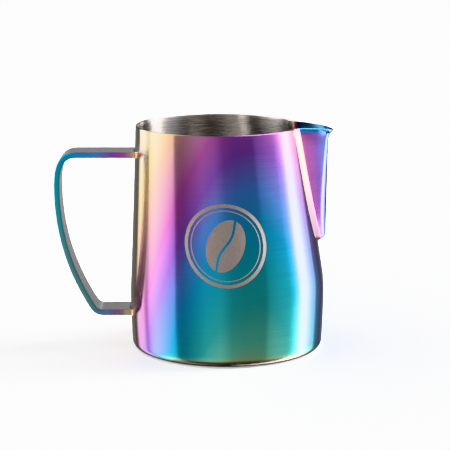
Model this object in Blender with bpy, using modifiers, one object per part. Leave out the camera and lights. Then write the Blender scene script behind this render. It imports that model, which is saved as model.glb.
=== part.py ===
"""Milk frothing pitcher: a drawn steel cup, a welded-in pouring spout and a strap handle.

Frame: origin at the centre of the base on the cup's axis, +Z up, +X towards the spout and
-X towards the handle.  All sizes are in metres.
"""
import math

import bmesh
import bpy
from mathutils import Vector
from mathutils.geometry import interpolate_bezier

MM = 0.001

# The cup: a round belly that narrows upwards, with its top shifted towards the handle.
CUP_HEIGHT = 107.6 * MM
BELLY_RADIUS = 46.5 * MM
BELLY_HEIGHT = 28.0 * MM
FOOT_RADIUS = 45.7 * MM
CORNER_RADIUS = 4.0 * MM
FRONT_INSET = 11.6 * MM
BACK_INSET = 2.95 * MM
BACK_BOW = 0.2
SHOULDER_BLEND = 0.13
WALL = 1.0 * MM

# The base: a flat centre, a shallow pressed groove, then the ring that it stands on.
CENTRE_DISC_RADIUS = 24.0 * MM
GROOVE_FLOOR = (24.8 * MM, 27.8 * MM)
GROOVE_OUTER_RADIUS = 28.6 * MM
GROOVE_DEPTH = 0.6 * MM

# The spout: half of its seam as a cubic curve of (half-width, height), bottom to rim.
SEAM = ((0.0, 51.5 * MM), (10.5 * MM, 51.5 * MM), (15.4 * MM, 60.0 * MM), (16.5 * MM, CUP_HEIGHT))
SEAM_START = 0.08
SEAM_ROWS = 18
NOSE_LOW_X = 47.1 * MM
NOSE_HIGH_X = 48.2 * MM
NOSE_CLOSE_HEIGHT = 3.2 * MM
BAND_RUN = 3.9 * MM
BAND_TURN = (math.radians(33.0), math.radians(40.0))
HOLLOW_RADIUS = 3.0 * MM
SIDE_TURN = math.radians(50.0)
LEAST_NOSE = 2.5 * MM
LIP_HEIGHT = 7.5 * MM
LIP_REACH = 2.5 * MM
LIP_NOSE_RADIUS = 8.0 * MM
LIP_DROOP = 2.8 * MM

# The handle: one bent flat bar, welded to the cup at both ends.
STRAP_WIDTH = 17.5 * MM
STRAP_THICKNESS = 2.8 * MM
STRAP_EDGE = 0.5 * MM
TOP_BAR_Z = 94.05 * MM
LOW_BAR_Z = 17.9 * MM
STRAP_ROOT_X = -40.0 * MM
TOP_BEND_X = -71.5 * MM
OUTERMOST = Vector((-80.7 * MM, 0.0, 78.0 * MM))
LOW_BEND_START = Vector((-66.6 * MM, 0.0, 24.6 * MM))
LOW_BEND_X = -59.5 * MM

# Weld beads.
BEAD_PROUD = 0.9 * MM
BEAD_LENGTH = 1.2 * MM
SEAM_BEAD_RADIUS = 0.5 * MM
SEAM_BEAD_TOP = 1.5 * MM

# Clearance between touching pieces, and how far a cutter runs past what it cuts.
GAP = 0.3 * MM
OVERRUN = 10.0 * MM
ROUND_SEGMENTS = 64
WALL_ROWS = 16
CORNER_STEPS = 5
GROUP_NAME = "milk_frothing_pitcher"


def clear_scene():
    for item in list(bpy.data.objects):
        bpy.data.objects.remove(item, do_unlink=True)


def new_collection(name):
    group = bpy.data.collections.new(name)
    bpy.context.scene.collection.children.link(group)
    return group


def new_material(name, colour, roughness, metallic):
    material = bpy.data.materials.new(name)
    material.use_nodes = True
    shader = material.node_tree.nodes["Principled BSDF"]
    shader.inputs["Base Color"].default_value = (*colour, 1.0)
    shader.inputs["Roughness"].default_value = roughness
    shader.inputs["Metallic"].default_value = metallic
    material.diffuse_color = (*colour, 1.0)
    return material


def mesh_object(name, mesh, group, material=None):
    item = bpy.data.objects.new(name, mesh)
    group.objects.link(item)
    if material:
        mesh.materials.append(material)
    return item


def shade(mesh, angle=40.0):
    mesh.shade_smooth()
    mesh.set_sharp_from_angle(angle=math.radians(angle))


def make_cutter(item):
    item.hide_render = True
    item.display_type = "WIRE"
    return item


def cut(item, cutter):
    modifier = item.modifiers.new("cut_" + cutter.name, "BOOLEAN")
    modifier.operation = "DIFFERENCE"
    modifier.solver = "EXACT"
    modifier.object = cutter
    return modifier


def solidify(item, thickness, offset):
    modifier = item.modifiers.new("wall", "SOLIDIFY")
    modifier.thickness = thickness
    modifier.offset = offset
    modifier.use_even_offset = True
    return modifier


def bevel(item, width, segments, angle=50.0):
    modifier = item.modifiers.new("edges", "BEVEL")
    modifier.width = width
    modifier.segments = segments
    modifier.limit_method = "ANGLE"
    modifier.angle_limit = math.radians(angle)
    return modifier


def grid_mesh(name, rows, closed_rows=False, fill_first=False, fill_last=False):
    """A surface through rows of points; every row has the same number of points."""
    mesh = bpy.data.meshes.new(name)
    work = bmesh.new()
    verts = [[work.verts.new(point) for point in row] for row in rows]
    columns = len(rows[0])
    spans = columns if closed_rows else columns - 1
    for low, high in zip(verts, verts[1:]):
        for i in range(spans):
            j = (i + 1) % columns
            work.faces.new((low[i], low[j], high[j], high[i]))
    if fill_first:
        work.faces.new(list(reversed(verts[0])))
    if fill_last:
        work.faces.new(verts[-1])
    work.to_mesh(mesh)
    work.free()
    return mesh


# --- The cup's outline ---------------------------------------------------------------------


def front_x(z):
    """X of the cup's outer wall on the spout side."""
    if z <= BELLY_HEIGHT:
        return belly_radius(z)
    rise = (z - BELLY_HEIGHT) / (CUP_HEIGHT - BELLY_HEIGHT)
    if rise < SHOULDER_BLEND:
        lean = rise * rise / (2.0 * SHOULDER_BLEND)
    else:
        lean = rise - SHOULDER_BLEND / 2.0
    return BELLY_RADIUS - FRONT_INSET * lean / (1.0 - SHOULDER_BLEND / 2.0)


def back_x(z):
    """X of the cup's outer wall on the handle side."""
    if z <= BELLY_HEIGHT:
        return -belly_radius(z)
    rise = (z - BELLY_HEIGHT) / (CUP_HEIGHT - BELLY_HEIGHT)
    return -BELLY_RADIUS + BACK_INSET * rise * (1.0 + BACK_BOW * (1.0 - rise))


def belly_radius(z):
    """Outer radius between the base corner and the belly's widest level."""
    rise = max(0.0, (z - CORNER_RADIUS) / (BELLY_HEIGHT - CORNER_RADIUS))
    return FOOT_RADIUS + (BELLY_RADIUS - FOOT_RADIUS) * (1.0 - (1.0 - rise) ** 2)


def section(z):
    """Radius and centre X of the round section at height z."""
    return (front_x(z) - back_x(z)) / 2.0, (front_x(z) + back_x(z)) / 2.0


def ring(radius, centre_x, z):
    step = 2.0 * math.pi / ROUND_SEGMENTS
    return [
        Vector((centre_x + radius * math.cos(i * step), radius * math.sin(i * step), z))
        for i in range(ROUND_SEGMENTS)
    ]


def wall_rings(grow=0.0):
    """Rings of the outer surface from the base corner to the rim, optionally grown."""
    rings = []
    for i in range(1, CORNER_STEPS):
        angle = 0.5 * math.pi * i / CORNER_STEPS
        radius = FOOT_RADIUS - CORNER_RADIUS + (CORNER_RADIUS + grow) * math.sin(angle)
        height = CORNER_RADIUS - (CORNER_RADIUS + grow) * math.cos(angle)
        rings.append(ring(radius, 0.0, height))
    for i in range(WALL_ROWS + 1):
        height = CORNER_RADIUS + (CUP_HEIGHT - CORNER_RADIUS) * i / WALL_ROWS
        radius, centre = section(height)
        rings.append(ring(radius + grow, centre, height))
    return rings


def base_rings():
    foot = FOOT_RADIUS - CORNER_RADIUS
    profile = (
        (CENTRE_DISC_RADIUS, 0.0),
        (GROOVE_FLOOR[0], GROOVE_DEPTH),
        (GROOVE_FLOOR[1], GROOVE_DEPTH),
        (GROOVE_OUTER_RADIUS, 0.0),
        (foot, 0.0),
    )
    return [ring(radius, 0.0, height) for radius, height in profile]


def build_cup(group, cutters, material):
    mesh = grid_mesh("cup_body", base_rings() + wall_rings(), closed_rows=True, fill_first=True)
    cup = mesh_object("cup_body", mesh, group, material)
    solidify(cup, WALL, -1.0)
    cut(cup, spout_opening_cutter(cutters))
    shade(mesh)
    return cup


def cup_clearance_cutter(cutters):
    """The cup's outer form grown by the gap, to trim what is welded to its wall."""
    rings = wall_rings(GAP)
    lid_radius, lid_centre = section(CUP_HEIGHT)
    rings.append(ring(lid_radius + GAP, lid_centre, CUP_HEIGHT + OVERRUN))
    mesh = grid_mesh("cup_clearance", rings, closed_rows=True, fill_first=True, fill_last=True)
    return make_cutter(mesh_object("cup_clearance", mesh, cutters))


# --- The spout -----------------------------------------------------------------------------


def seam_point(t):
    """Half-width and height of the seam at curve parameter t, 0 at its lowest point."""
    (w0, z0), (w1, z1), (w2, z2), (w3, z3) = SEAM
    a, b, c, d = (1 - t) ** 3, 3 * t * (1 - t) ** 2, 3 * t * t * (1 - t), t ** 3
    return a * w0 + b * w1 + c * w2 + d * w3, a * z0 + b * z1 + c * z2 + d * z3


def seam_parameters():
    return [SEAM_START + (1.0 - SEAM_START) * i / (SEAM_ROWS - 1) for i in range(SEAM_ROWS)]


def nose_x(z):
    """X of the spout's front edge, closing onto the cup's wall at the seam's lowest point."""
    low = SEAM[0][1]
    rise = (z - low) / (CUP_HEIGHT - low)
    straight = NOSE_LOW_X + (NOSE_HIGH_X - NOSE_LOW_X) * rise
    opening = math.sin(0.5 * math.pi * min(1.0, (z - low) / NOSE_CLOSE_HEIGHT))
    return front_x(z) + (straight - front_x(z)) * opening


def side_turn(reach, width, nose):
    """Turn and length of the flat side that bring a half section onto the nose line."""
    low, high = 0.0, math.radians(88.0)
    for _ in range(50):
        turn = 0.5 * (low + high)
        flat = max(0.0, (width - nose * math.sin(turn)) / math.cos(turn))
        out = flat * math.sin(turn) + nose * (1.0 - math.cos(turn))
        low, high = (turn, high) if out < reach else (low, turn)
    return turn, flat


def spout_row(t, band_steps=2, hollow_steps=3, nose_steps=6):
    """One level of the spout: a band along the seam, flat side, round nose, then mirrored.

    A turn is the angle of the surface's normal from the nose line.
    """
    width, z = seam_point(t)
    radius, centre = section(z)
    seam = Vector((centre + math.sqrt(radius * radius - width * width), width))
    lip = max(0.0, (z - CUP_HEIGHT + LIP_HEIGHT) / LIP_HEIGHT) ** 2
    tip_x = nose_x(z) + LIP_REACH * lip
    reach = tip_x - seam.x
    chord, lean = math.hypot(reach, width), math.atan2(reach, width)
    first, last = min(BAND_TURN[0], 0.92 * lean), min(BAND_TURN[1], lean)
    wanted = min(SIDE_TURN, 1.6 * lean)
    band = min(BAND_RUN, 0.36 * chord)
    hollow = min(HOLLOW_RADIUS, 0.25 * chord)
    middle = 0.5 * (first + last)
    reach -= band * math.sin(middle) + hollow * (math.cos(last) - math.cos(wanted))
    width -= band * math.cos(middle) + hollow * (math.sin(wanted) - math.sin(last))
    nose = (width * math.sin(wanted) - reach * math.cos(wanted)) / (1.0 - math.cos(wanted))
    nose = max(min(LEAST_NOSE, 0.3 * chord), nose)
    nose += (LIP_NOSE_RADIUS - nose) * lip
    turn, flat = side_turn(reach, width, nose)
    moves = []
    for i in range(band_steps):
        angle = first + (last - first) * (i + 0.5) / band_steps
        moves.append((angle, band / band_steps))
    for i in range(hollow_steps):
        angle = last + (turn - last) * (i + 0.5) / hollow_steps
        moves.append((angle, hollow * (wanted - last) / hollow_steps))
    moves.append((turn, flat))
    for i in range(nose_steps):
        moves.append((turn * (1.0 - (i + 0.5) / nose_steps), nose * turn / nose_steps))
    half = [seam]
    for angle, run in moves:
        half.append(half[-1] + run * Vector((math.sin(angle), -math.cos(angle))))
    # What little the turns' steps leave over is shared out along the run.
    over = half[-1] - Vector((tip_x, 0.0))
    half = [p - over * i / (len(half) - 1) for i, p in enumerate(half)]
    outline = half + [Vector((p.x, -p.y)) for p in reversed(half[:-1])]
    return [
        Vector((p.x, p.y, z - LIP_DROOP * lip * max(0.0, (p.x - seam.x) / (tip_x - seam.x)) ** 1.5))
        for p in outline
    ]


def build_spout(group, material):
    rows = [spout_row(t) for t in seam_parameters()]
    mesh = grid_mesh("spout", [list(reversed(row)) for row in rows])
    spout = mesh_object("spout", mesh, group, material)
    solidify(spout, WALL, -1.0)
    shade(mesh)
    return spout


def spout_opening_cutter(cutters):
    """A bar along X whose outline is the seam grown by the gap."""
    steps = 20
    half = [seam_point(i / steps) for i in range(steps + 1)]
    right = [(width + GAP, z - GAP) for width, z in half] + [(half[-1][0] + GAP, CUP_HEIGHT + OVERRUN)]
    outline = right + [(-width, z) for width, z in reversed(right)]
    rows = [
        [Vector((x, y, z)) for y, z in outline]
        for x in (front_x(CUP_HEIGHT) - OVERRUN, BELLY_RADIUS + OVERRUN)
    ]
    mesh = grid_mesh("spout_opening", rows, closed_rows=True, fill_first=True, fill_last=True)
    return make_cutter(mesh_object("spout_opening", mesh, cutters))


def build_spout_weld(group, material):
    """The weld bead along the inside of the seam, from rim to rim around its foot."""
    inset = WALL + GAP + SEAM_BEAD_RADIUS
    half = []
    for t in (0.06 + 0.94 * i / 16 for i in range(17)):
        width, z = seam_point(t)
        if z > CUP_HEIGHT - SEAM_BEAD_TOP:
            z = CUP_HEIGHT - SEAM_BEAD_TOP
        radius, centre = section(z)
        angle = math.asin(width / radius)
        half.append(Vector((
            centre + (radius - inset) * math.cos(angle),
            (radius - inset) * math.sin(angle),
            z,
        )))
    points = list(reversed(half)) + [Vector((p.x, -p.y, p.z)) for p in half]
    curve = bpy.data.curves.new("spout_weld_path", "CURVE")
    curve.dimensions = "3D"
    curve.bevel_depth = SEAM_BEAD_RADIUS
    curve.bevel_resolution = 2
    curve.render_resolution_u = 0
    curve.use_fill_caps = True
    spline = curve.splines.new("POLY")
    spline.points.add(len(points) - 1)
    for slot, point in zip(spline.points, points):
        slot.co = (*point, 1.0)
    curve.materials.append(material)
    bead = bpy.data.objects.new("spout_weld", curve)
    group.objects.link(bead)
    return bead


# --- The handle ----------------------------------------------------------------------------


def strap_path():
    """Middle line of the bent bar in the XZ plane, from the top root to the lower root."""
    top_root = Vector((STRAP_ROOT_X, 0.0, TOP_BAR_Z))
    top_bend = Vector((TOP_BEND_X, 0.0, TOP_BAR_Z))
    low_bend = Vector((LOW_BEND_X, 0.0, LOW_BAR_Z))
    low_root = Vector((STRAP_ROOT_X, 0.0, LOW_BAR_Z))
    down = Vector((0.0, 0.0, -1.0))
    outward = Vector((-1.0, 0.0, 0.0))
    run_in = Vector((0.50, 0.0, -0.866))
    knots = (
        (top_bend, outward * 7.5 * MM, OUTERMOST, down * -9.5 * MM, 12),
        (OUTERMOST, down * 18.0 * MM, LOW_BEND_START, run_in * -20.0 * MM, 16),
        (LOW_BEND_START, run_in * 4.4 * MM, low_bend, outward * 3.6 * MM, 8),
    )
    path = [top_root]
    for start, start_handle, end, end_handle, count in knots:
        stretch = interpolate_bezier(start, start + start_handle, end + end_handle, end, count)
        path += stretch[:-1]
    return path + [low_bend, low_root]


def strap_ribbon(name, half_width):
    """The bar's middle surface; its rows run down the path, so it faces outwards."""
    path = strap_path()
    rows = [[point + Vector((0.0, side * half_width, 0.0)) for side in (-1, 1)] for point in path]
    return grid_mesh(name, rows)


def build_strap(group, clearance, material):
    mesh = strap_ribbon("handle_strap", STRAP_WIDTH / 2.0)
    strap = mesh_object("handle_strap", mesh, group, material)
    solidify(strap, STRAP_THICKNESS, 0.0)
    bevel(strap, STRAP_EDGE, 2)
    cut(strap, clearance)
    shade(mesh)
    return strap


def strap_clearance_cutter(cutters):
    mesh = strap_ribbon("strap_clearance", STRAP_WIDTH / 2.0 + GAP)
    cutter = mesh_object("strap_clearance", mesh, cutters)
    solidify(cutter, STRAP_THICKNESS + 2.0 * GAP, 0.0)
    return make_cutter(cutter)


def build_handle_weld(name, z, group, clearance, strap_clearance, material):
    """A rounded collar of weld metal around the bar where it meets the cup."""
    near_x = back_x(z) - BEAD_LENGTH
    far_x = STRAP_ROOT_X
    size = (
        far_x - near_x,
        STRAP_WIDTH + 2.0 * BEAD_PROUD,
        STRAP_THICKNESS + 2.0 * BEAD_PROUD,
    )
    mesh = bpy.data.meshes.new(name)
    work = bmesh.new()
    bmesh.ops.create_cube(work, size=1.0)
    bmesh.ops.scale(work, vec=size, verts=work.verts)
    bmesh.ops.translate(work, vec=((near_x + far_x) / 2.0, 0.0, z), verts=work.verts)
    work.to_mesh(mesh)
    work.free()
    bead = mesh_object(name, mesh, group, material)
    bevel(bead, BEAD_PROUD * 0.75, 3)
    cut(bead, strap_clearance)
    cut(bead, clearance)
    shade(mesh)
    return bead


def build():
    clear_scene()
    group = new_collection(GROUP_NAME)
    cutters = new_collection("cutters")
    colours = {
        "cup_body": (0.30, 0.36, 0.62),
        "spout": (0.42, 0.26, 0.66),
        "handle_strap": (0.10, 0.42, 0.48),
        "handle_weld": (0.45, 0.40, 0.34),
        "spout_weld": (0.52, 0.49, 0.46),
    }
    steel = {name: new_material(name, colour, 0.28, 1.0) for name, colour in colours.items()}
    build_cup(group, cutters, steel["cup_body"])
    build_spout(group, steel["spout"])
    build_spout_weld(group, steel["spout_weld"])
    clearance = cup_clearance_cutter(cutters)
    strap_clearance = strap_clearance_cutter(cutters)
    build_strap(group, clearance, steel["handle_strap"])
    for name, height in (("handle_weld_upper", TOP_BAR_Z), ("handle_weld_lower", LOW_BAR_Z)):
        build_handle_weld(name, height, group, clearance, strap_clearance, steel["handle_weld"])


build()
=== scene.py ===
"""Looks of the milk frothing pitcher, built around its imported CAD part.  Lengths in metres."""
import math

import bpy
import numpy as np
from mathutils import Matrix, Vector
from mathutils.geometry import interpolate_bezier


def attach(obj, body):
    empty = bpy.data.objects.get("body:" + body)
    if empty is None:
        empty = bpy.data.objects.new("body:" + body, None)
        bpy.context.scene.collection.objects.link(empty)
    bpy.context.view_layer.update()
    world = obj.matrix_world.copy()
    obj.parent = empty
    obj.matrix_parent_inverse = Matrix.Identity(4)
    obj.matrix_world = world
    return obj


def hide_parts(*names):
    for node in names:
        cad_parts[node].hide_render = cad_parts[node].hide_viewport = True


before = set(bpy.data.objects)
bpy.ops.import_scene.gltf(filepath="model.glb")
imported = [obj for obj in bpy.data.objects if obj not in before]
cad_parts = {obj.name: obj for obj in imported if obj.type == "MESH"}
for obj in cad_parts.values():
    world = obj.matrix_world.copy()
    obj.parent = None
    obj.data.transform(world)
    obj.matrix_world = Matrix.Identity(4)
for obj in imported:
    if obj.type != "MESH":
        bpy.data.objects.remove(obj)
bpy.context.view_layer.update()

MM = 0.001

# The cup and spout outlines, the same curves as the CAD part's.
CUP_HEIGHT = 107.6 * MM
BELLY_RADIUS = 46.5 * MM
BELLY_HEIGHT = 28.0 * MM
FOOT_RADIUS = 45.7 * MM
CORNER_RADIUS = 4.0 * MM
FRONT_INSET = 11.6 * MM
BACK_INSET = 2.95 * MM
BACK_BOW = 0.2
SHOULDER_BLEND = 0.13
WALL = 1.0 * MM
SEAM = ((0.0, 51.5 * MM), (10.5 * MM, 51.5 * MM), (15.4 * MM, 60.0 * MM), (16.5 * MM, CUP_HEIGHT))
NOSE_LOW_X = 47.1 * MM
NOSE_HIGH_X = 48.2 * MM
NOSE_CLOSE_HEIGHT = 3.2 * MM
BAND_RUN = 3.9 * MM
BAND_TURN = (math.radians(33.0), math.radians(40.0))
HOLLOW_RADIUS = 3.0 * MM
SIDE_TURN = math.radians(50.0)
LEAST_NOSE = 2.5 * MM
LIP_HEIGHT = 7.5 * MM
LIP_REACH = 2.5 * MM
LIP_NOSE_RADIUS = 8.0 * MM
LIP_DROOP = 2.8 * MM

# The handle, the same path as the CAD part's.
STRAP_WIDTH = 17.5 * MM
STRAP_THICKNESS = 2.8 * MM
STRAP_EDGE = 0.5 * MM
TOP_BAR_Z = 94.05 * MM
LOW_BAR_Z = 17.9 * MM
TOP_BEND_X = -71.5 * MM
OUTERMOST = Vector((-80.7 * MM, 0.0, 78.0 * MM))
LOW_BEND_START = Vector((-66.6 * MM, 0.0, 24.6 * MM))
LOW_BEND_X = -59.5 * MM

# Fineness of the meshes.
AROUND = 256
RIM_STEPS = 8
WELD_STEPS = 9
WELD_AROUND = 220

# How far round the cup its columns are squeezed aside by the spout's opening, in radians.
SQUEEZE_REACH = 1.25

# The handle's welds: how far they spread over the cup and along the bar, and their ripples.
WELD_SPREAD = 0.85 * MM
WELD_STAND = 1.1 * MM
WELD_RIPPLE = 0.07
WELD_RIPPLES = 34

# The bead left inside the spout's seam.
BEAD_RADIUS = 0.5 * MM
BEAD_RIPPLE = 0.06
BEAD_AROUND = 14

# Coating on the lip and the welds, and the painted shade on rim and welds: the share of their
# brightness that rim and welds keep, which damps their highlights.
LIP_FILM = 0.67
WELD_FILM = 0.21
WELD_PAINTED_SHADE = 0.6
RIM_PAINTED_SHADE = 0.6


# --- Outlines ------------------------------------------------------------------------------


def belly_radius(z):
    rise = max(0.0, (z - CORNER_RADIUS) / (BELLY_HEIGHT - CORNER_RADIUS))
    return FOOT_RADIUS + (BELLY_RADIUS - FOOT_RADIUS) * (1.0 - (1.0 - rise) ** 2)


def front_x(z):
    if z <= BELLY_HEIGHT:
        return belly_radius(z)
    rise = (z - BELLY_HEIGHT) / (CUP_HEIGHT - BELLY_HEIGHT)
    lean = rise - SHOULDER_BLEND / 2.0
    if rise < SHOULDER_BLEND:
        lean = rise * rise / (2.0 * SHOULDER_BLEND)
    return BELLY_RADIUS - FRONT_INSET * lean / (1.0 - SHOULDER_BLEND / 2.0)


def back_x(z):
    if z <= BELLY_HEIGHT:
        return -belly_radius(z)
    rise = (z - BELLY_HEIGHT) / (CUP_HEIGHT - BELLY_HEIGHT)
    return -BELLY_RADIUS + BACK_INSET * rise * (1.0 + BACK_BOW * (1.0 - rise))


def section(z):
    """Radius and centre X of the round section at height z."""
    return (front_x(z) - back_x(z)) / 2.0, (front_x(z) + back_x(z)) / 2.0


def wall_point(angle, z):
    radius, centre = section(z)
    return np.array((centre + radius * math.cos(angle), radius * math.sin(angle), z))


def wall_normal(angle, z):
    step = 0.2 * MM
    (r_low, c_low), (r_high, c_high) = section(z - step), section(z + step)
    growth = (math.cos(angle) * (c_high - c_low) + r_high - r_low) / (2.0 * step)
    normal = np.array((math.cos(angle), math.sin(angle), -growth))
    return normal / np.linalg.norm(normal)


def seam_point(t):
    """Half-width and height of the spout's seam, at t = 0 its lowest point, at 1 the rim."""
    weights = ((1 - t) ** 3, 3 * t * (1 - t) ** 2, 3 * t * t * (1 - t), t ** 3)
    return tuple(sum(w * knot[i] for w, knot in zip(weights, SEAM)) for i in (0, 1))


def seam_angle(t):
    width, z = seam_point(t)
    return math.asin(width / section(z)[0])


def nose_x(z):
    low = SEAM[0][1]
    rise = (z - low) / (CUP_HEIGHT - low)
    straight = NOSE_LOW_X + (NOSE_HIGH_X - NOSE_LOW_X) * rise
    opening = math.sin(0.5 * math.pi * min(1.0, (z - low) / NOSE_CLOSE_HEIGHT))
    return front_x(z) + (straight - front_x(z)) * opening


def side_turn(reach, width, nose):
    """Turn and length of the flat side that bring a half section onto the nose line."""
    low, high = 0.0, math.radians(88.0)
    for _ in range(50):
        turn = 0.5 * (low + high)
        flat = max(0.0, (width - nose * math.sin(turn)) / math.cos(turn))
        out = flat * math.sin(turn) + nose * (1.0 - math.cos(turn))
        low, high = (turn, high) if out < reach else (low, turn)
    return turn, flat


def spout_row(t, band_steps=10, hollow_steps=8, side_steps=10, nose_steps=14):
    """One level of the spout: a band along the seam, flat side, round nose, then mirrored.

    A turn is the angle of the surface's normal from the nose line.
    """
    width, z = seam_point(t)
    radius, centre = section(z)
    seam = Vector((centre + math.sqrt(radius * radius - width * width), width))
    lip = max(0.0, (z - CUP_HEIGHT + LIP_HEIGHT) / LIP_HEIGHT) ** 2
    tip_x = nose_x(z) + LIP_REACH * lip
    reach = tip_x - seam.x
    chord, lean = math.hypot(reach, width), math.atan2(reach, width)
    first, last = min(BAND_TURN[0], 0.92 * lean), min(BAND_TURN[1], lean)
    wanted = min(SIDE_TURN, 1.6 * lean)
    band = min(BAND_RUN, 0.36 * chord)
    hollow = min(HOLLOW_RADIUS, 0.25 * chord)
    middle = 0.5 * (first + last)
    reach -= band * math.sin(middle) + hollow * (math.cos(last) - math.cos(wanted))
    width -= band * math.cos(middle) + hollow * (math.sin(wanted) - math.sin(last))
    nose = (width * math.sin(wanted) - reach * math.cos(wanted)) / (1.0 - math.cos(wanted))
    nose = max(min(LEAST_NOSE, 0.3 * chord), nose)
    nose += (LIP_NOSE_RADIUS - nose) * lip
    turn, flat = side_turn(reach, width, nose)
    moves = []
    for i in range(band_steps):
        angle = first + (last - first) * (i + 0.5) / band_steps
        moves.append((angle, band / band_steps))
    for i in range(hollow_steps):
        angle = last + (turn - last) * (i + 0.5) / hollow_steps
        moves.append((angle, hollow * (wanted - last) / hollow_steps))
    moves += [(turn, flat / side_steps)] * side_steps
    for i in range(nose_steps):
        moves.append((turn * (1.0 - (i + 0.5) / nose_steps), nose * turn / nose_steps))
    half = [seam]
    for angle, run in moves:
        half.append(half[-1] + run * Vector((math.sin(angle), -math.cos(angle))))
    # What little the turns' steps leave over is shared out along the run.
    over = half[-1] - Vector((tip_x, 0.0))
    half = [p - over * i / (len(half) - 1) for i, p in enumerate(half)]
    outline = half + [Vector((p.x, -p.y)) for p in reversed(half[:-1])]
    span = max(tip_x - seam.x, 1e-6)
    return [
        (p.x, p.y, z - LIP_DROOP * lip * max(0.0, (p.x - seam.x) / span) ** 1.5) for p in outline
    ]


# --- Meshes --------------------------------------------------------------------------------


class Surface:
    """Collects grids of points into one mesh, with its brushing map and its colour layers."""

    def __init__(self):
        self.points = []
        self.film = []
        self.tint = []
        self.shade = []
        self.maps = []
        self.faces = []

    def grid(self, points, film, brush, tint=1.0, shade=1.0):
        """Adds rows x columns of points; a closed row's last point is its first one."""
        tint = np.broadcast_to(tint, points.shape[:2])
        shade = np.broadcast_to(shade, points.shape[:2])
        film = np.broadcast_to(film, points.shape[:2])
        rows, columns = points.shape[:2]
        index = np.zeros((rows, columns), int)
        for r in range(rows):
            for c in range(columns):
                if c and np.allclose(points[r, c], points[r, 0], atol=1e-9):
                    index[r, c] = index[r, 0]
                    continue
                index[r, c] = len(self.points)
                self.points.append(points[r, c])
                self.film.append(film[r, c])
                self.tint.append(tint[r, c])
                self.shade.append(shade[r, c])
        for r in range(rows - 1):
            for c in range(columns - 1):
                corners = [(r, c), (r, c + 1), (r + 1, c + 1), (r + 1, c)]
                self.face([index[q] for q in corners], [brush[q] for q in corners])
        return index

    def face(self, ids, brush, flip=False):
        kept = [(i, b) for n, (i, b) in enumerate(zip(ids, brush)) if i != ids[n - 1]]
        if len({i for i, _ in kept}) < 3:
            return
        if flip:
            kept.reverse()
        self.faces.append([int(i) for i, _ in kept])
        self.maps.extend(tuple(b) for _, b in kept)

    def close_ends(self, index, brush):
        """Closes both ends of a tube whose rows go round it."""
        for row, flip in ((0, True), (len(index) - 1, False)):
            columns = range(len(index[row]) - 1)
            self.face([index[row][c] for c in columns], [brush[row][c] for c in columns], flip)

    def piece(self, name, materials, sharp=40.0):
        mesh = bpy.data.meshes.new(name)
        mesh.from_pydata([tuple(p) for p in self.points], [], self.faces)
        brushing = mesh.uv_layers.new(name="brushing")
        brushing.uv.foreach_set("vector", np.array(self.maps, np.float32).ravel())
        for layer, values in (("film", self.film), ("tint", self.tint), ("shade", self.shade)):
            data = mesh.attributes.new(layer, "FLOAT", "POINT")
            data.data.foreach_set("value", np.array(values, np.float32))
        for material in materials:
            mesh.materials.append(material)
        mesh.shade_smooth()
        mesh.set_sharp_from_angle(angle=math.radians(sharp))
        mesh.update()
        item = bpy.data.objects.new(name, mesh)
        bpy.context.scene.collection.objects.link(item)
        return item


def smooth_step(value, low, high):
    u = min(1.0, max(0.0, (value - low) / (high - low)))
    return u * u * (3.0 - 2.0 * u)


# --- The coating's thickness, which sets its colour ----------------------------------------


def cup_film(x, y, z):
    """Thickness of the coating on the cup, 0 bare to 1.

    It thickens from the rim down and is thickest on the flanks, where it ends in a last band
    round the foot that runs on to brown: a painted dark reflection there. In a narrow strip down
    the handle's side there is next to none.
    The polynomial is a least-squares fit's, rounded, but for its last term.
    """
    radius, centre = section(min(max(z, 0.0), CUP_HEIGHT))
    side = max(-1.0, min(1.0, (x - centre) / radius))
    fall = 1.0 - z / CUP_HEIGHT
    film = 0.31 + 0.62 * fall + 0.23 * side + 0.15 * side * fall - 0.22 * side ** 2
    film += 0.04 * fall ** 2 - 0.36 * fall * side ** 2 - 0.14 * side ** 3
    film -= 0.08 * side * fall ** 2 + 0.06 * fall ** 4 * smooth_step(side, -0.5, 0.2)
    film = 0.1 + 0.9 * min(1.0, max(0.0, film))
    # Painted dark reflection: within 5.5 mm of the base, thick coating runs on to the ramp's brown
    # end.
    film += (1.0 - film) * smooth_step(5.5 * MM - z, 0.0, 3.5 * MM) * smooth_step(film, 0.5, 0.7)
    return film - (film - 0.08) * smooth_step(-side, 0.93, 0.97)


# --- The cup -------------------------------------------------------------------------------


def seam_rows():
    """Seam parameters from its lowest point up to just under the rim's rounding."""
    rows = [0.0, 0.012, 0.025, 0.04, 0.055, 0.075, 0.1, 0.125]
    rows += [0.15 + 0.85 * i / 34 for i in range(34)]
    top = CUP_HEIGHT - WALL / 2.0
    low, high = 0.9, 1.0
    for _ in range(40):
        middle = 0.5 * (low + high)
        low, high = (middle, high) if seam_point(middle)[1] < top else (low, middle)
    return [t for t in rows if t < low - 0.008] + [low]


def column_angles(opening):
    """Angles round the cup, squeezed so that the first and last follow the spout's seam."""
    angles = []
    for i in range(AROUND + 1):
        base = 2.0 * math.pi * i / AROUND
        near = min(base, 2.0 * math.pi - base)
        shift = opening * max(0.0, 1.0 - near / SQUEEZE_REACH) ** 2
        angles.append(base + shift if base <= math.pi else base - shift)
    return angles


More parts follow.
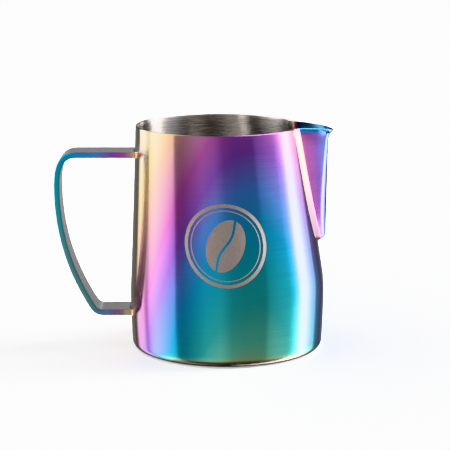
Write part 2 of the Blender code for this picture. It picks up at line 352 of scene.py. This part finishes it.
def cup_profile():
    """Levels of the cup's outside from the base's centre to the rim.

    Each is (radius, z, opening): the radius is None on the wall, which has its own outline,
    and the opening is the angle at which the spout's seam crosses the level.
    """
    foot = FOOT_RADIUS - CORNER_RADIUS
    # The base in millimetres: flat, with one groove pressed round it.
    base = [(0.0, 0.0), (8.0, 0.0), (16.0, 0.0), (23.4, 0.0), (24.0, 0.06), (24.35, 0.3)]
    base += [(24.8, 0.55), (25.4, 0.6), (27.2, 0.6), (27.8, 0.55), (28.3, 0.2), (28.8, 0.03)]
    base += [(29.6, 0.0), (32.0, 0.0), (36.0, 0.0), (40.0, 0.0)]
    levels = [(r * MM, z * MM, 0.0) for r, z in base]
    for i in range(9):
        angle = 0.5 * math.pi * i / 9
        radius = foot + CORNER_RADIUS * math.sin(angle)
        levels.append((radius, CORNER_RADIUS * (1.0 - math.cos(angle)), 0.0))
    low = SEAM[0][1]
    count = 26
    levels += [(None, CORNER_RADIUS + (low - CORNER_RADIUS) * i / count, 0.0) for i in range(count)]
    for t in seam_rows():
        levels.append((None, seam_point(t)[1], seam_angle(t)))
    return levels


def cup_outside(levels):
    """Points of the cup's outside, and their normals."""
    outside, normals = [], []
    for radius, z, opening in levels:
        row, row_normals = [], []
        for angle in column_angles(opening):
            if radius is None:
                row.append(wall_point(angle, z))
                row_normals.append(wall_normal(angle, z))
            else:
                row.append(np.array((radius * math.cos(angle), radius * math.sin(angle), z)))
                row_normals.append(None)
        outside.append(row)
        normals.append(row_normals)
    # The base and its corner: normals from the profile's direction.
    for i in [i for i, level in enumerate(levels) if level[0] is not None]:
        r0, z0 = levels[max(i - 1, 0)][0], levels[max(i - 1, 0)][1]
        r1, z1 = levels[i + 1][0] or FOOT_RADIUS, levels[i + 1][1]
        slope = math.atan2(z1 - z0, r1 - r0)
        out, down = math.sin(slope), -math.cos(slope)
        for c, angle in enumerate(column_angles(0.0)):
            normals[i][c] = np.array((out * math.cos(angle), out * math.sin(angle), down))
    return np.array(outside), np.array(normals)


def rim_rows(outer, inner, normals, up):
    """Half a round from the outer edge over to the inner one."""
    up /= np.linalg.norm(up, axis=1)[:, None]
    centre = 0.5 * (outer + inner)
    rows = []
    for i in range(1, RIM_STEPS):
        angle = math.pi * i / RIM_STEPS
        rows.append(centre + 0.5 * WALL * (math.cos(angle) * normals + math.sin(angle) * up))
    return np.array(rows)


def run_of_rows(everything):
    """Run along the middle column, from the first row."""
    middle = everything[:, everything.shape[1] // 2]
    gaps = np.linalg.norm(np.diff(middle, axis=0), axis=1)
    return np.concatenate(([0.0], np.cumsum(gaps)))


def build_cup(materials):
    levels = cup_profile()
    outside, normals = cup_outside(levels)
    inside = outside - normals * WALL
    up = np.array((0.0, 0.0, 1.0)) - normals[-1] * normals[-1][:, 2:3]
    rim = rim_rows(outside[-1], inside[-1], normals[-1], up)
    everything = np.concatenate((outside, rim, inside[::-1]))
    columns = everything.shape[1]
    brush = np.zeros(everything.shape[:2] + (2,))
    brush[..., 0] = np.linspace(-math.pi, math.pi, columns)[None, :] * 0.044
    brush[..., 1] = run_of_rows(everything)[:, None]
    film = np.zeros(everything.shape[:2])
    shade = np.ones(everything.shape[:2])
    tint = np.ones(everything.shape[:2])
    rows_out = len(outside)
    for r in range(len(everything)):
        for c in range(columns):
            point = everything[r, c]
            if r < rows_out + RIM_STEPS // 2:
                film[r, c] = cup_film(*point)
                # Painted shade on the outside; the rim's outer half is darkened further to damp its
                # highlight.
                shade[r, c] = cup_painted_shade(*point) * (RIM_PAINTED_SHADE if r >= rows_out else 1.0)
                # The lowest 3.6 mm are greyed, as part of the painted dark reflection round the foot.
                tint[r, c] = 1.0 - 0.5 * smooth_step(3.6 * MM - point[2], 0.0, 2.8 * MM)
            else:
                film[r, c] = inner_film(point)
                shade[r, c] = inner_painted_shade(point)
    surface = Surface()
    index = surface.grid(everything, film, brush, tint=tint, shade=shade)
    close_slit(surface, index, brush, rows_out, len(levels) - len(seam_rows()))
    return surface.piece("cup_shell", materials)


SEAM_CURVE = [seam_point(i / 60.0) for i in range(61)]


def seam_distance(y, z):
    """Distance from the spout's seam, seen along X."""
    return min(math.hypot(abs(y) - w, z - h) for w, h in SEAM_CURVE)


def inner_film(point):
    """Inside, only a breath of coating that crept past the spout's seam."""
    x, y, z = point
    if x < 0.0 or z < SEAM[0][1]:
        return 0.0
    return 0.10 * (1.0 - smooth_step(seam_distance(y, z), 0.3 * MM, 3.0 * MM))


def inner_painted_shade(point):
    """Painted shade inside: darker on the handle's side, damping a bright reflection there."""
    radius, centre = section(min(max(point[2], 0.0), CUP_HEIGHT))
    return 1.0 - 0.4 * smooth_step((centre - point[0]) / radius, 0.5, 0.85)


def cup_painted_shade(x, y, z):
    """Painted shade on the cup: darker round the foot, standing in for the dark reflection under it,
    and in a band beside the spout's seam, wider lower down, standing in for a dark reflection there.
    """
    # Painted shade round the foot, deepest along its lowest curve.
    foot = 1.0 - 0.45 * smooth_step(5.0 * MM - z, 0.0, 4.0 * MM)
    foot *= 1.0 - 0.4 * smooth_step(1.5 * MM - z, 0.0, 1.0 * MM)
    if x < 0.0 or z > CUP_HEIGHT - 12.0 * MM or z < SEAM[0][1] - 6.0 * MM:
        return foot
    # Painted shade beside the spout's seam, widening downwards.
    width = 1.2 * MM + 3.0 * MM * min(1.0, (CUP_HEIGHT - z) / (45.0 * MM))
    return foot * (1.0 - 0.6 * (1.0 - smooth_step(seam_distance(y, z), 0.3 * width, width)))


def close_slit(surface, index, brush, rows_out, first):
    """Walls the two cut edges between the outer and the inner surface, and the rim's ends."""
    total = index.shape[0]
    for column, flip in ((0, False), (index.shape[1] - 1, True)):
        for r in range(first, rows_out - 1):
            low, high = (r, column), (r + 1, column)
            far_high, far_low = (total - 2 - r, column), (total - 1 - r, column)
            corners = [low, high, far_high, far_low]
            surface.face([index[q] for q in corners], [brush[q] for q in corners], flip)
        ring = [(r, column) for r in range(rows_out - 1, total - rows_out + 1)]
        surface.face([index[q] for q in ring], [brush[q] for q in ring], flip)


# --- The spout -----------------------------------------------------------------------------


def lip_share(z):
    """Share that the lip's own coating has at a height, 0 to 1."""
    return smooth_step(z, CUP_HEIGHT - 3.2 * MM, CUP_HEIGHT - 1.2 * MM)


def spout_film(z, edge, middle):
    """Coating on the spout: straw along the seam, violet on the side, blue at the nose and lip.

    edge is the run from the seam, middle the run from the seam to the nose line.
    """
    fall = (CUP_HEIGHT - z) / (CUP_HEIGHT - SEAM[0][1])
    band = min(BAND_RUN, 0.36 * middle)
    side = (edge - band) / max(middle - band, 1e-9)
    film = 0.21 + 0.09 * fall + (0.11 - 0.03 * fall) * smooth_step(edge, 0.6 * band, 1.1 * band)
    film += 0.27 * min(1.0, max(0.0, side))
    return film + (LIP_FILM - film) * lip_share(z) * smooth_step(edge, 0.0, 6.0 * MM)


def spout_normals(points, params):
    """Normals of the spout's outside; along the seam they are the cup's own."""
    normals = np.cross(np.gradient(points, axis=1), np.gradient(points, axis=0))
    length = np.linalg.norm(normals, axis=2)[..., None]
    normals = np.where(length > 1e-14, normals / np.maximum(length, 1e-14), 0.0)
    for r, t in enumerate(params):
        normals[r, 0] = wall_normal(-seam_angle(t), seam_point(t)[1])
        normals[r, -1] = wall_normal(seam_angle(t), seam_point(t)[1])
    normals[0] = wall_normal(0.0, SEAM[0][1])
    return normals


def build_spout(materials):
    params = seam_rows()
    rows = [spout_row(t) for t in params[1:]]
    tip = wall_point(0.0, SEAM[0][1])
    points = np.array([[tip] * len(rows[0])] + rows)[:, ::-1]
    normals = spout_normals(points, params)
    inside = points - normals * WALL
    up = points[-1] - points[-2]
    up -= normals[-1] * np.sum(up * normals[-1], axis=1)[:, None]
    rim = rim_rows(points[-1], inside[-1], normals[-1], up)
    everything = np.concatenate((points, rim, inside[::-1]))
    rows_out = len(points)
    columns = everything.shape[1]
    film = np.zeros(everything.shape[:2])
    shade = np.ones(everything.shape[:2])
    brush = np.zeros(everything.shape[:2] + (2,))
    for r in range(len(everything)):
        gaps = np.linalg.norm(np.diff(everything[r], axis=0), axis=1)
        run = np.concatenate(([0.0], np.cumsum(gaps)))
        brush[r, :, 0] = run - run[-1] / 2.0
        for c in range(columns):
            edge = min(run[c], run[-1] - run[c])
            z = everything[r, c, 2]
            if r < rows_out + RIM_STEPS // 2:
                film[r, c] = spout_film(z, edge, run[-1] / 2.0)
                # Painted shade on the spout's outside beyond the seam's band, deeper at the lip,
                # damping its reflections.
                painted_shade = 0.18 + 0.22 * lip_share(z)
                shade[r, c] = 1.0 - painted_shade * smooth_step(edge, 2.5 * MM, 5.0 * MM)
            else:
                film[r, c] = 0.10 + 0.5 * smooth_step(edge, 1.0 * MM, 7.5 * MM)
                # Painted shade in the hollow inside the spout: darkest some 6 to 10 mm from the seam,
                # lighter again towards the nose.
                shade[r, c] = 1.0 - 0.88 * smooth_step(edge, 1.0 * MM, 6.0 * MM)
                shade[r, c] += 0.5 * smooth_step(edge, 10.0 * MM, 22.0 * MM)
    brush[..., 1] = run_of_rows(everything)[:, None]
    surface = Surface()
    index = surface.grid(everything, film, brush, shade=shade)
    close_slit(surface, index, brush, rows_out, 0)
    return surface.piece("spout_shell", materials)


# --- The handle ----------------------------------------------------------------------------


def strap_path():
    """Middle line of the bent bar in the XZ plane, from the top root to the lower root."""
    top_bend = Vector((TOP_BEND_X, 0.0, TOP_BAR_Z))
    low_bend = Vector((LOW_BEND_X, 0.0, LOW_BAR_Z))
    down = Vector((0.0, 0.0, -1.0))
    outward = Vector((-1.0, 0.0, 0.0))
    run_in = Vector((0.50, 0.0, -0.866))
    knots = (
        (top_bend, outward * 7.5 * MM, OUTERMOST, down * -9.5 * MM, 26),
        (OUTERMOST, down * 18.0 * MM, LOW_BEND_START, run_in * -20.0 * MM, 34),
        (LOW_BEND_START, run_in * 4.4 * MM, low_bend, outward * 3.6 * MM, 20),
    )
    top_root = Vector((back_x(TOP_BAR_Z) + 0.5 * MM, 0.0, TOP_BAR_Z))
    low_root = Vector((back_x(LOW_BAR_Z) + 0.5 * MM, 0.0, LOW_BAR_Z))
    path = [top_root.lerp(top_bend, i / 14) for i in range(14)]
    for start, start_handle, end, end_handle, count in knots:
        path += interpolate_bezier(start, start + start_handle, end + end_handle, end, count)[:-1]
    path += [low_bend.lerp(low_root, i / 10) for i in range(11)]
    return path


def bar_outline():
    """Rounded outline of the bar's section: (across, out), closed."""
    half_width, half_depth = STRAP_WIDTH / 2.0, STRAP_THICKNESS / 2.0
    corners = ((1, 1, 0.0), (-1, 1, 90.0), (-1, -1, 180.0), (1, -1, 270.0))
    outline = []
    for across, out, start in corners:
        middle = (across * (half_width - STRAP_EDGE), out * (half_depth - STRAP_EDGE))
        for i in range(7):
            angle = math.radians(start + 15.0 * i)
            x = middle[0] + STRAP_EDGE * math.cos(angle)
            y = middle[1] + STRAP_EDGE * math.sin(angle)
            outline.append((x, y))
    filled = []
    for (x0, y0), (x1, y1) in zip(outline, outline[1:] + outline[:1]):
        steps = max(1, round(math.hypot(x1 - x0, y1 - y0) / (1.6 * MM)))
        filled += [(x0 + (x1 - x0) * i / steps, y0 + (y1 - y0) * i / steps) for i in range(steps)]
    return filled + filled[:1]


def outline_run(outline):
    """Run round the section at each point of its outline."""
    gaps = [math.dist(a, b) for a, b in zip(outline, outline[1:])]
    return np.concatenate(([0.0], np.cumsum(gaps)))


# Coating along the bar by the distance from each weld in millimetres: straw, violet, teal.
FILM_FROM_TOP = (
    (0, 0.2), (3, 0.3), (5, 0.36), (9, 0.43), (12, 0.48), (23, 0.6), (45, 0.73), (110, 0.82),
)
FILM_FROM_BOTTOM = (
    (0, 0.15), (3, 0.20), (5, 0.35), (10, 0.52), (15, 0.60), (20, 0.75), (27, 0.84),
)


def strap_film(done, total):
    top = np.interp(done / MM, *zip(*FILM_FROM_TOP))
    bottom = np.interp((total - done) / MM, *zip(*FILM_FROM_BOTTOM))
    return min(top, bottom)


def build_strap(materials):
    path = strap_path()
    outline = bar_outline()
    lengths = [0.0]
    for a, b in zip(path, path[1:]):
        lengths.append(lengths[-1] + (b - a).length)
    girth = outline_run(outline)
    half_width = STRAP_WIDTH / 2.0
    # 1 on the narrow faces and 0 on the wide ones, which show next to none of the colour.
    narrow = [smooth_step(abs(a), half_width - 0.7 * MM, half_width - 0.1 * MM) for a, _ in outline]
    points, film, tint, shade, brush = [], [], [], [], []
    for i, point in enumerate(path):
        ahead, behind = path[min(i + 1, len(path) - 1)], path[max(i - 1, 0)]
        direction = (ahead - behind).normalized()
        out = Vector((direction.z, 0.0, -direction.x))
        sideways = Vector((0.0, 1.0, 0.0))
        points.append([tuple(point + sideways * a + out * depth) for a, depth in outline])
        film.append([strap_film(lengths[i], lengths[-1])] * len(outline))
        # Towards the lower end the narrow faces turn greyer and darker.
        toward_low_end = smooth_step(lengths[i] / lengths[-1], 0.35, 0.75)
        tint.append([0.08 + (0.92 - 0.2 * toward_low_end) * n for n in narrow])
        shade.append([1.0 - 0.4 * toward_low_end * n for n in narrow])
        brush.append([(lengths[i], g) for g in girth])
    surface = Surface()
    index = surface.grid(np.array(points), film, np.array(brush), tint=tint, shade=shade)
    surface.close_ends(index, brush)
    return surface.piece("handle_bar", materials)


def build_handle_weld(name, z, materials):
    """A filleted run of weld metal round the bar's end, with the ripples of its passes."""
    outline = bar_outline()
    girth = outline_run(outline)
    points = np.zeros((WELD_STEPS, WELD_AROUND + 1, 3))
    brush = np.zeros((WELD_STEPS, WELD_AROUND + 1, 2))
    flat_width, flat_depth = STRAP_WIDTH / 2 - STRAP_EDGE, STRAP_THICKNESS / 2 - STRAP_EDGE
    for k in range(WELD_AROUND + 1):
        along = girth[-1] * k / WELD_AROUND
        across = np.interp(along, girth, [p[0] for p in outline])
        depth = np.interp(along, girth, [p[1] for p in outline])
        nearest = np.array((
            max(-flat_width, min(flat_width, across)),
            max(-flat_depth, min(flat_depth, depth)),
        ))
        away = np.array((across, depth)) - nearest
        away /= max(np.linalg.norm(away), 1e-9)
        ripple = 1.0 + WELD_RIPPLE * math.sin(2.0 * math.pi * along / (girth[-1] / WELD_RIPPLES))
        for step in range(WELD_STEPS):
            turn = 0.5 * math.pi * step / (WELD_STEPS - 1)
            reach = WELD_SPREAD * ripple * (1.0 - math.cos(turn)) ** 0.9
            stand = WELD_STAND * ripple * (1.0 - math.sin(turn)) ** 0.9
            y, up = np.array((across, depth)) + away * (reach - 0.05 * MM)
            radius, centre = section(z + up)
            face = centre - math.sqrt(max(radius * radius - y * y, 0.0))
            points[step, k] = (face + 0.15 * MM - stand, y, z + up)
            brush[step, k] = (along, step * 0.2 * MM)
    points[:, -1] = points[:, 0]
    surface = Surface()
    # The welds are darkened by painted shade that damps their glint.
    surface.grid(points, WELD_FILM, brush, tint=0.9, shade=WELD_PAINTED_SHADE)
    return surface.piece(name, materials)


def build_seam_weld(materials):
    """The low bead left along the inside of the spout's seam."""
    half = []
    for i in range(61):
        t = 0.03 + 0.955 * i / 60
        angle, z = seam_angle(t), seam_point(t)[1]
        normal = wall_normal(angle, z)
        half.append((wall_point(angle, z) - normal * (WALL - 0.05 * MM), normal, t))
    path = list(reversed(half))
    path += [(p * (1, -1, 1), n * (1, -1, 1), t) for p, n, t in half]
    places = np.array([p for p, _, _ in path])
    forward = np.gradient(places, axis=0)
    forward /= np.linalg.norm(forward, axis=1)[:, None]
    points = np.zeros((len(path), BEAD_AROUND + 1, 3))
    brush = np.zeros((len(path), BEAD_AROUND + 1, 2))
    run = np.concatenate(([0.0], np.cumsum(np.linalg.norm(np.diff(places, axis=0), axis=1))))
    for i, (place, normal, t) in enumerate(path):
        side = np.cross(forward[i], normal)
        fade = min(1.0, (1.0 - t) / 0.02 + 0.3)
        swell = BEAD_RADIUS * fade * (1.0 + BEAD_RIPPLE * math.sin(run[i] / (0.45 * MM)))
        for k in range(BEAD_AROUND + 1):
            turn = 2.0 * math.pi * k / BEAD_AROUND
            across = 1.3 * math.cos(turn) * side - 0.8 * math.sin(turn) * normal
            points[i, k] = place + swell * across
            brush[i, k] = (run[i], k * 0.2 * MM)
    points[:, -1] = points[:, 0]
    surface = Surface()
    index = surface.grid(points, 0.07, brush)
    surface.close_ends(index, brush)
    return surface.piece("spout_seam_bead", materials)


# --- The etched mark: a plain ring round a coffee bean -------------------------------------

MARK_CENTRE = (0.6 * MM, 57.4 * MM)
MARK_RAISE = 0.03 * MM
RINGS = ((19.3 * MM, 17.7 * MM), (16.4 * MM, 15.9 * MM))
BEAN_LENGTH = 12.6 * MM
BEAN_GIRTH = 8.6 * MM
BEAN_LEAN = math.radians(-24.0)


def mark_point(u, v, lift):
    """A point of the mark's drawing, u round the wall and v up it, laid on the cup."""
    z = MARK_CENTRE[1] + v
    radius = section(z)[0]
    angle = -0.5 * math.pi + (MARK_CENTRE[0] + u) / radius
    return wall_point(angle, z) + wall_normal(angle, z) * lift


def mark_patch(surface, rows):
    """A thin plate from rows of (u, v): its face, and a skirt down into the wall."""
    face = np.array([[mark_point(u, v, MARK_RAISE) for u, v in row] for row in rows])
    surface.grid(face, 0.0, np.array(rows))
    ends = [row[-1] for row in rows], [row[0] for row in rows][::-1]
    for edge in (rows[0], ends[0], rows[-1][::-1], ends[1]):
        lifts = (-MARK_RAISE, MARK_RAISE)
        skirt = np.array([[mark_point(u, v, lift) for u, v in edge] for lift in lifts])
        surface.grid(skirt, 0.0, np.array([edge] * 2))


def bean_rows(side):
    """Half of a leaning ellipse, cut back by the bean's S-shaped groove."""
    rows = []
    for i in range(41):
        along = 0.995 * (-1.0 + 2.0 * i / 40)
        width = BEAN_GIRTH * math.sqrt(1.0 - along * along)
        groove = 1.25 * MM * math.sin(math.pi * along) * math.sqrt(1.0 - along * along)
        near = groove + side * min(0.55 * MM, 0.5 * width)
        far = side * width
        row = []
        for k in range(9):
            x, y = near + (far - near) * k / 8, along * BEAN_LENGTH
            u = x * math.cos(BEAN_LEAN) - y * math.sin(BEAN_LEAN)
            row.append((u, x * math.sin(BEAN_LEAN) + y * math.cos(BEAN_LEAN)))
        rows.append(row)
    return rows


def build_mark(materials):
    surface = Surface()
    for outer, inner in RINGS:
        for quarter in range(4):
            angles = [0.5 * math.pi * (quarter + i / 45) for i in range(46)]
            mark_patch(surface, [
                [(r * math.cos(a), r * math.sin(a)) for a in angles] for r in (inner, outer)
            ])
    for side in (-1.0, 1.0):
        mark_patch(surface, bean_rows(side))
    return surface.piece("etched_mark", materials, sharp=30.0)


# --- Materials -----------------------------------------------------------------------------

# Colours of the coating by thickness, bare steel first. The fit that cup_film comes from gave
# ten of them their first values, and eight of those ten were then altered.
FILM_COLOURS = (
    (0.00, (0.53, 0.495, 0.475)),
    (0.07, (0.70, 0.66, 0.60)),
    (0.11, (0.85, 0.76, 0.58)),
    (0.19, (0.86, 0.62, 0.26)),
    (0.235, (0.72, 0.42, 0.27)),
    (0.28, (0.56, 0.27, 0.33)),
    (0.37, (0.45, 0.11, 0.38)),
    (0.46, (0.26, 0.11, 0.50)),
    (0.55, (0.11, 0.26, 0.69)),
    (0.64, (0.005, 0.30, 0.55)),
    (0.73, (0.012, 0.35, 0.45)),
    (0.82, (0.045, 0.42, 0.42)),
    (0.91, (0.18, 0.60, 0.46)),
    (0.96, (0.45, 0.60, 0.31)),
    (1.00, (0.36, 0.27, 0.19)),
)


def add(nodes, kind, **values):
    node = nodes.new(kind)
    for key, value in values.items():
        setattr(node, key, value)
    return node


def math_node(tree, operation, a, b=None):
    node = add(tree.nodes, "ShaderNodeMath", operation=operation)
    for socket, value in zip(node.inputs, (a, b)):
        if value is None:
            continue
        if isinstance(value, (int, float)):
            socket.default_value = value
        else:
            tree.links.new(value, socket)
    return node.outputs[0]


def steel(name, roughness, stretch, anisotropic, film_noise):
    """Brushed steel under a coating whose colour follows the mesh's film layer."""
    material = bpy.data.materials.new(name)
    material.use_nodes = True
    tree = material.node_tree
    nodes, links = tree.nodes, tree.links
    shader = nodes["Principled BSDF"]
    shader.inputs["Metallic"].default_value = 1.0
    shader.inputs["Anisotropic"].default_value = anisotropic
    shader.inputs["Anisotropic Rotation"].default_value = 0.25
    shader.inputs["Coat Weight"].default_value = 0.6
    shader.inputs["Coat Roughness"].default_value = 0.15
    tangent = add(nodes, "ShaderNodeTangent", direction_type="UV_MAP", uv_map="brushing")
    links.new(tangent.outputs[0], shader.inputs["Tangent"])

    place = add(nodes, "ShaderNodeUVMap", uv_map="brushing")
    squeeze = add(nodes, "ShaderNodeMapping")
    squeeze.inputs["Scale"].default_value = stretch
    links.new(place.outputs[0], squeeze.inputs[0])
    lines = add(nodes, "ShaderNodeTexNoise", noise_dimensions="2D")
    lines.inputs["Scale"].default_value = 1.0
    lines.inputs["Detail"].default_value = 3.0
    lines.inputs["Roughness"].default_value = 0.6
    links.new(squeeze.outputs[0], lines.inputs["Vector"])
    streaks = lines.outputs[0]

    where = add(nodes, "ShaderNodeTexCoord")
    clouds = add(nodes, "ShaderNodeTexNoise")
    clouds.inputs["Scale"].default_value = 45.0
    clouds.inputs["Detail"].default_value = 2.0
    links.new(where.outputs["Object"], clouds.inputs["Vector"])

    film = add(nodes, "ShaderNodeAttribute", attribute_name="film")
    cloudy = math_node(tree, "SUBTRACT", clouds.outputs[0], 0.5)
    drift = math_node(tree, "MULTIPLY", cloudy, film_noise)
    streaky = math_node(tree, "SUBTRACT", streaks, 0.5)
    fine = math_node(tree, "MULTIPLY", streaky, film_noise)
    shifted = math_node(tree, "ADD", film.outputs["Fac"], math_node(tree, "ADD", drift, fine))
    ramp = add(nodes, "ShaderNodeValToRGB")
    stops = ramp.color_ramp.elements
    for position, _ in FILM_COLOURS[1:-1]:
        stops.new(position)
    for stop, (position, colour) in zip(stops, FILM_COLOURS):
        stop.position = position
        stop.color = (*colour, 1.0)
    links.new(shifted, ramp.inputs[0])

    tint = add(nodes, "ShaderNodeAttribute", attribute_name="tint")
    paler = add(nodes, "ShaderNodeMix", data_type="RGBA")
    plain = paler.inputs[6]
    plain.default_value = (0.92, 0.87, 0.91, 1.0)
    links.new(tint.outputs["Fac"], paler.inputs[0])
    links.new(ramp.outputs[0], paler.inputs[7])
    shade = add(nodes, "ShaderNodeMix", data_type="RGBA", blend_type="MULTIPLY")
    shade.inputs[0].default_value = 1.0
    links.new(paler.outputs[2], shade.inputs[6])
    grey = add(nodes, "ShaderNodeMapRange")
    grey.inputs["From Min"].default_value = 0.25
    grey.inputs["From Max"].default_value = 0.75
    grey.inputs["To Min"].default_value = 0.93
    grey.inputs["To Max"].default_value = 1.05
    links.new(streaks, grey.inputs[0])
    # The shade layer darkens the colour: it carries the painted shade.
    painted_shade = add(nodes, "ShaderNodeAttribute", attribute_name="shade")
    links.new(math_node(tree, "MULTIPLY", grey.outputs[0], painted_shade.outputs["Fac"]), shade.inputs[7])
    links.new(shade.outputs[2], shader.inputs["Base Color"])

    rough = add(nodes, "ShaderNodeMapRange")
    rough.inputs["From Min"].default_value = 0.25
    rough.inputs["From Max"].default_value = 0.75
    rough.inputs["To Min"].default_value = roughness - 0.04
    rough.inputs["To Max"].default_value = roughness + 0.04
    links.new(streaks, rough.inputs[0])
    bare = add(nodes, "ShaderNodeMapRange")
    bare.inputs["From Min"].default_value = 0.02
    bare.inputs["From Max"].default_value = 0.06
    bare.inputs["To Min"].default_value = 0.10
    bare.inputs["To Max"].default_value = 0.0
    links.new(film.outputs["Fac"], bare.inputs[0])
    links.new(math_node(tree, "ADD", rough.outputs[0], bare.outputs[0]), shader.inputs["Roughness"])

    bump = add(nodes, "ShaderNodeBump")
    bump.inputs["Strength"].default_value = 0.04
    bump.inputs["Distance"].default_value = 0.00002
    links.new(streaks, bump.inputs["Height"])
    links.new(bump.outputs[0], shader.inputs["Normal"])
    return material


def etched_steel():
    """Laser-etched steel: matt and finely mottled."""
    material = bpy.data.materials.new("etched_steel")
    material.use_nodes = True
    tree = material.node_tree
    nodes, links = tree.nodes, tree.links
    shader = nodes["Principled BSDF"]
    shader.inputs["Metallic"].default_value = 1.0
    where = add(nodes, "ShaderNodeTexCoord")
    grain = add(nodes, "ShaderNodeTexNoise")
    grain.inputs["Scale"].default_value = 1400.0
    grain.inputs["Detail"].default_value = 3.0
    links.new(where.outputs["Object"], grain.inputs["Vector"])
    ramp = add(nodes, "ShaderNodeValToRGB")
    low, high = ramp.color_ramp.elements
    low.position, high.position = 0.3, 0.7
    low.color, high.color = (0.47, 0.40, 0.375, 1.0), (0.57, 0.49, 0.46, 1.0)
    links.new(grain.outputs[0], ramp.inputs[0])
    links.new(ramp.outputs[0], shader.inputs["Base Color"])
    rough = add(nodes, "ShaderNodeMapRange")
    rough.inputs["To Min"].default_value = 0.62
    rough.inputs["To Max"].default_value = 0.74
    links.new(grain.outputs[0], rough.inputs[0])
    links.new(rough.outputs[0], shader.inputs["Roughness"])
    return material


# --- Studio --------------------------------------------------------------------------------

# Brightness of the studio round the object: degrees from the front towards +X, brightness.
# Its first values came partly from that fit, and nearly all were then altered.
STUDIO = (
    (-180, 0.3), (-150, 0.17), (-139, 0.15), (-133, 2.0), (-121, 3.0), (-115, 1.0), (-108, 1.2),
    (-103, 4.4), (-96, 5.6), (-84, 3.6), (-72, 1.9), (-65, 1.4), (-62, 0.4), (-52, 0.42),
    (-24, 0.82), (-8, 0.76), (6, 0.47), (20, 0.40), (47, 0.38), (52, 0.60), (68, 0.82),
    (80, 0.95), (89, 1.7), (95, 8.0), (99, 48.0), (108, 48.0), (114, 14.0), (121, 4.0),
    (127, 1.8), (131, 0.4), (150, 0.15), (180, 0.5),
)
STUDIO_TOP = 48.0


def build_studio():
    world = bpy.data.worlds.new("studio")
    bpy.context.scene.world = world
    world.use_nodes = True
    tree = world.node_tree
    nodes, links = tree.nodes, tree.links
    nodes.clear()
    out = add(nodes, "ShaderNodeOutputWorld")
    where = add(nodes, "ShaderNodeTexCoord")
    parts = add(nodes, "ShaderNodeSeparateXYZ")
    links.new(where.outputs["Generated"], parts.inputs[0])
    back = math_node(tree, "MULTIPLY", parts.outputs[1], -1.0)
    angle = math_node(tree, "ARCTAN2", parts.outputs[0], back)
    turn = math_node(tree, "ADD", math_node(tree, "DIVIDE", angle, 2.0 * math.pi), 0.5)
    ramp = add(nodes, "ShaderNodeValToRGB")
    stops = ramp.color_ramp.elements
    for degrees, _ in STUDIO[1:-1]:
        stops.new(degrees / 360.0 + 0.5)
    for stop, (degrees, light) in zip(stops, STUDIO):
        value = light / STUDIO_TOP
        stop.position = degrees / 360.0 + 0.5
        stop.color = (value, value, value, 1.0)
    links.new(turn, ramp.inputs[0])
    room = add(nodes, "ShaderNodeBackground")
    links.new(ramp.outputs[0], room.inputs["Color"])
    height = add(nodes, "ShaderNodeMapRange", interpolation_type="SMOOTHSTEP")
    height.inputs["From Min"].default_value = -0.85
    height.inputs["From Max"].default_value = -0.5
    height.inputs["To Min"].default_value = 0.2 * STUDIO_TOP
    height.inputs["To Max"].default_value = STUDIO_TOP
    links.new(parts.outputs[2], height.inputs[0])
    links.new(height.outputs[0], room.inputs["Strength"])
    paper = add(nodes, "ShaderNodeBackground")
    paper.inputs["Color"].default_value = (1.0, 1.0, 1.0, 1.0)
    paper.inputs["Strength"].default_value = 1.7
    path = add(nodes, "ShaderNodeLightPath")
    choose = add(nodes, "ShaderNodeMixShader")
    links.new(path.outputs["Is Camera Ray"], choose.inputs[0])
    links.new(room.outputs[0], choose.inputs[1])
    links.new(paper.outputs[0], choose.inputs[2])
    links.new(choose.outputs[0], out.inputs["Surface"])


def build_floor():
    mesh = bpy.data.meshes.new("floor")
    reach = 4.0
    corners = [(-reach, -reach), (reach, -reach), (reach, reach), (-reach, reach)]
    mesh.from_pydata([(x, y, -0.05 * MM) for x, y in corners], [], [(0, 1, 2, 3)])
    material = bpy.data.materials.new("pale_floor")
    material.use_nodes = True
    tree = material.node_tree
    shader = tree.nodes["Principled BSDF"]
    shader.inputs["Base Color"].default_value = (0.86, 0.86, 0.86, 1.0)
    shader.inputs["Roughness"].default_value = 0.9
    shader.inputs["Specular IOR Level"].default_value = 0.1
    shader.inputs["Emission Color"].default_value = (1.0, 1.0, 1.0, 1.0)
    shader.inputs["Emission Strength"].default_value = 0.35
    mesh.materials.append(material)
    floor = bpy.data.objects.new("floor", mesh)
    bpy.context.scene.collection.objects.link(floor)
    floor.visible_glossy = False


def build_camera():
    data = bpy.data.cameras.new("camera")
    data.sensor_width = 36.0
    data.lens = 152.98
    data.shift_x = -0.00478
    data.shift_y = 0.00787
    data.clip_start = 0.01
    camera = bpy.data.objects.new("camera", data)
    bpy.context.scene.collection.objects.link(camera)
    camera.location = (0.0, -0.900, 0.2325)
    aim = Vector((0.0, 0.0, 0.0572)) - camera.location
    camera.rotation_euler = aim.to_track_quat("-Z", "Y").to_euler()
    bpy.context.scene.camera = camera


def build():
    scene = bpy.context.scene
    scene.view_settings.view_transform = "Khronos PBR Neutral"
    build_camera()
    build_studio()
    build_floor()
    coated = steel("coated_steel", 0.17, (25.0, 4200.0, 1.0), 1.0, 0.02)
    pieces = (
        (build_cup([coated]), "coated_steel", ["cup_body"]),
        (build_spout([coated]), "coated_steel", ["spout"]),
        (build_strap([coated]), "coated_steel", ["handle_strap"]),
        (build_handle_weld("upper_weld", TOP_BAR_Z, [coated]), "coated_steel", ["handle_weld_upper"]),
        (build_handle_weld("lower_weld", LOW_BAR_Z, [coated]), "coated_steel", ["handle_weld_lower"]),
        (build_seam_weld([coated]), "bare_steel", ["spout_weld"]),
        (build_mark([etched_steel()]), "bare_steel", []),
    )
    for piece, slot, nodes in pieces:
        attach(piece, "root")
        if nodes:
            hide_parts(*nodes)


build()
